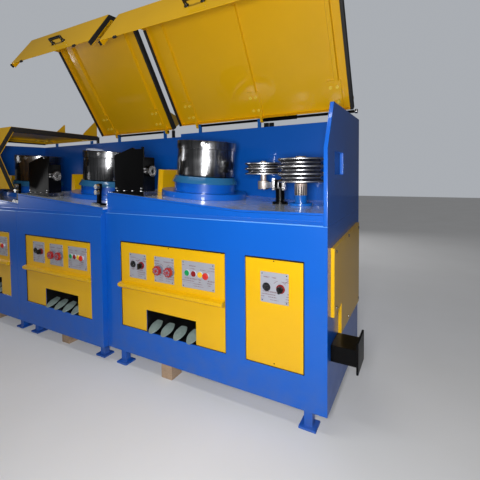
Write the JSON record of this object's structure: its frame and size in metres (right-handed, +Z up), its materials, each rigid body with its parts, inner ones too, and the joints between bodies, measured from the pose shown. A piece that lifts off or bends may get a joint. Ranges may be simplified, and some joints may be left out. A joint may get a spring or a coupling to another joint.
{
  "type": "straight-line wire drawing machine",
  "caption": "Row of capstan benches with die boxes, guide sheaves, foot pedals and lifting hoods that draw wire through dies.",
  "frame": {"origin": "centre of the sole of the end bay's front left levelling foot, on the floor", "axes": "+X along the wire line towards the end bay, +Y from the operator side to the back, +Z up"},
  "size_m": [3.6319, 1.1551, 2.4396],
  "materials": {
    "blue_paint": "gloss paint",
    "post_blue": "gloss paint",
    "yellow_paint": "gloss paint",
    "worktop_steel": "scuffed grey paint",
    "polished_steel": "turned and polished",
    "black_paint": "satin paint",
    "plate_grey": "satin",
    "control_plastic": "gloss",
    "pedal_green": "hammered paint",
    "timber": "rough sawn",
    "seal_rubber": "matt",
    "handle_plastic": "matt"
  },
  "bodies": {
    "housing": {"end_bench": "blue_paint", "standard_benches": "blue_paint", "worktops": "worktop_steel", "back_walls": "blue_paint", "right_side_wall": "blue_paint", "left_side_wall": "blue_paint", "control_panels": "yellow_paint", "access_panel": "yellow_paint", "side_guard": "yellow_paint", "junction_box": "black_paint", "feet": "blue_paint", "packing_blocks": "timber", "control_plates": "plate_grey", "operator_controls": "control_plastic", "drum_bases": "blue_paint", "die_boxes": "black_paint", "lubricant_boxes": "yellow_paint", "wire_rollers": "polished_steel", "guide_post": "post_blue", "tension_post": "black_paint", "hinge_posts": "post_blue", "hinge_shafts": "black_paint", "limit_switches": "black_paint", "pedal_stands": "black_paint"},
    "end_hood": {"end_hood": "yellow_paint", "end_hood_seal": "seal_rubber", "end_hood_handle": "handle_plastic"},
    "middle_hood": {"middle_hood": "yellow_paint", "middle_hood_seal": "seal_rubber", "middle_hood_handle": "handle_plastic"},
    "far_hood": {"far_hood": "yellow_paint", "far_hood_seal": "seal_rubber", "far_hood_handle": "handle_plastic"},
    "end_drum": {"end_drum": "polished_steel"},
    "middle_drum": {"middle_drum": "polished_steel"},
    "far_drum": {"far_drum": "polished_steel"},
    "guide_sheave": {"guide_sheave": "polished_steel"},
    "tension_arm": {"tension_arm": "polished_steel"},
    "tension_sheave": {"tension_sheave": "polished_steel"},
    "end_pedal_1": {"end_pedal_1": "pedal_green"},
    "end_pedal_2": {"end_pedal_2": "pedal_green"},
    "end_pedal_3": {"end_pedal_3": "pedal_green"},
    "end_pedal_4": {"end_pedal_4": "pedal_green"},
    "middle_pedal_1": {"middle_pedal_1": "pedal_green"},
    "middle_pedal_2": {"middle_pedal_2": "pedal_green"},
    "middle_pedal_3": {"middle_pedal_3": "pedal_green"},
    "middle_pedal_4": {"middle_pedal_4": "pedal_green"},
    "far_pedal_1": {"far_pedal_1": "pedal_green"},
    "far_pedal_2": {"far_pedal_2": "pedal_green"},
    "far_pedal_3": {"far_pedal_3": "pedal_green"},
    "far_pedal_4": {"far_pedal_4": "pedal_green"}
  },
  "joints": [
    {"name": "end_hood_hinge", "type": "hinge", "parent": "housing", "child": "end_hood", "pos_m": [0.645, 0.81, 1.71], "axis": [1, 0, 0], "range_deg": [0, 57]},
    {"name": "middle_hood_hinge", "type": "hinge", "parent": "housing", "child": "middle_hood", "pos_m": [-0.605, 0.81, 1.685], "axis": [1, 0, 0], "range_deg": [0, 57]},
    {"name": "far_hood_hinge", "type": "hinge", "parent": "housing", "child": "far_hood", "pos_m": [-1.605, 0.81, 1.685], "axis": [1, 0, 0], "range_deg": [-57, 0]},
    {"name": "end_drum_axle", "type": "hinge", "parent": "housing", "child": "end_drum", "pos_m": [0.4, 0.4, 1.13563], "axis": [0.0802, 0, 0.9968], "continuous": true},
    {"name": "middle_drum_axle", "type": "hinge", "parent": "housing", "child": "middle_drum", "pos_m": [-0.6, 0.4, 1.11063], "axis": [0.0802, 0, 0.9968], "continuous": true},
    {"name": "far_drum_axle", "type": "hinge", "parent": "housing", "child": "far_drum", "pos_m": [-1.6, 0.4, 1.11063], "axis": [0.0802, 0, 0.9968], "continuous": true},
    {"name": "guide_sheave_axle", "type": "hinge", "parent": "housing", "child": "guide_sheave", "pos_m": [1.138, 0.34, 1.295], "axis": [0, 0, 1], "continuous": true},
    {"name": "tension_arm_pivot", "type": "hinge", "parent": "housing", "child": "tension_arm", "pos_m": [0.978, 0.41089, 1.215], "axis": [0, 0, 1], "range_deg": [-35, 8]},
    {"name": "tension_sheave_axle", "type": "hinge", "parent": "tension_arm", "child": "tension_sheave", "pos_m": [0.84412, 0.45182, 1.295], "axis": [0, 0, 1], "continuous": true},
    {"name": "end_pedal_1_pivot", "type": "hinge", "parent": "housing", "child": "end_pedal_1", "pos_m": [0.293, -0.02, 0.303], "axis": [-1, 0, 0], "range_deg": [0, 10], "stiffness_Nm_per_rad": 8, "springref_deg": -5.73},
    {"name": "end_pedal_2_pivot", "type": "hinge", "parent": "housing", "child": "end_pedal_2", "pos_m": [0.391, -0.02, 0.303], "axis": [-1, 0, 0], "range_deg": [0, 10], "stiffness_Nm_per_rad": 8, "springref_deg": -5.73},
    {"name": "end_pedal_3_pivot", "type": "hinge", "parent": "housing", "child": "end_pedal_3", "pos_m": [0.489, -0.02, 0.303], "axis": [-1, 0, 0], "range_deg": [0, 10], "stiffness_Nm_per_rad": 8, "springref_deg": -5.73},
    {"name": "end_pedal_4_pivot", "type": "hinge", "parent": "housing", "child": "end_pedal_4", "pos_m": [0.587, -0.02, 0.303], "axis": [-1, 0, 0], "range_deg": [0, 10], "stiffness_Nm_per_rad": 8, "springref_deg": -5.73},
    {"name": "middle_pedal_1_pivot", "type": "hinge", "parent": "housing", "child": "middle_pedal_1", "pos_m": [-0.707, -0.06, 0.303], "axis": [-1, 0, 0], "range_deg": [0, 10], "stiffness_Nm_per_rad": 8, "springref_deg": -5.73},
    {"name": "middle_pedal_2_pivot", "type": "hinge", "parent": "housing", "child": "middle_pedal_2", "pos_m": [-0.609, -0.06, 0.303], "axis": [-1, 0, 0], "range_deg": [0, 10], "stiffness_Nm_per_rad": 8, "springref_deg": -5.73},
    {"name": "middle_pedal_3_pivot", "type": "hinge", "parent": "housing", "child": "middle_pedal_3", "pos_m": [-0.511, -0.06, 0.303], "axis": [-1, 0, 0], "range_deg": [0, 10], "stiffness_Nm_per_rad": 8, "springref_deg": -5.73},
    {"name": "middle_pedal_4_pivot", "type": "hinge", "parent": "housing", "child": "middle_pedal_4", "pos_m": [-0.413, -0.06, 0.303], "axis": [-1, 0, 0], "range_deg": [0, 10], "stiffness_Nm_per_rad": 8, "springref_deg": -5.73},
    {"name": "far_pedal_1_pivot", "type": "hinge", "parent": "housing", "child": "far_pedal_1", "pos_m": [-1.707, -0.06, 0.303], "axis": [-1, 0, 0], "range_deg": [0, 10], "stiffness_Nm_per_rad": 8, "springref_deg": -5.73},
    {"name": "far_pedal_2_pivot", "type": "hinge", "parent": "housing", "child": "far_pedal_2", "pos_m": [-1.609, -0.06, 0.303], "axis": [-1, 0, 0], "range_deg": [0, 10], "stiffness_Nm_per_rad": 8, "springref_deg": -5.73},
    {"name": "far_pedal_3_pivot", "type": "hinge", "parent": "housing", "child": "far_pedal_3", "pos_m": [-1.511, -0.06, 0.303], "axis": [-1, 0, 0], "range_deg": [0, 10], "stiffness_Nm_per_rad": 8, "springref_deg": -5.73},
    {"name": "far_pedal_4_pivot", "type": "hinge", "parent": "housing", "child": "far_pedal_4", "pos_m": [-1.413, -0.06, 0.303], "axis": [-1, 0, 0], "range_deg": [0, 10], "stiffness_Nm_per_rad": 8, "springref_deg": -5.73}
  ]
}
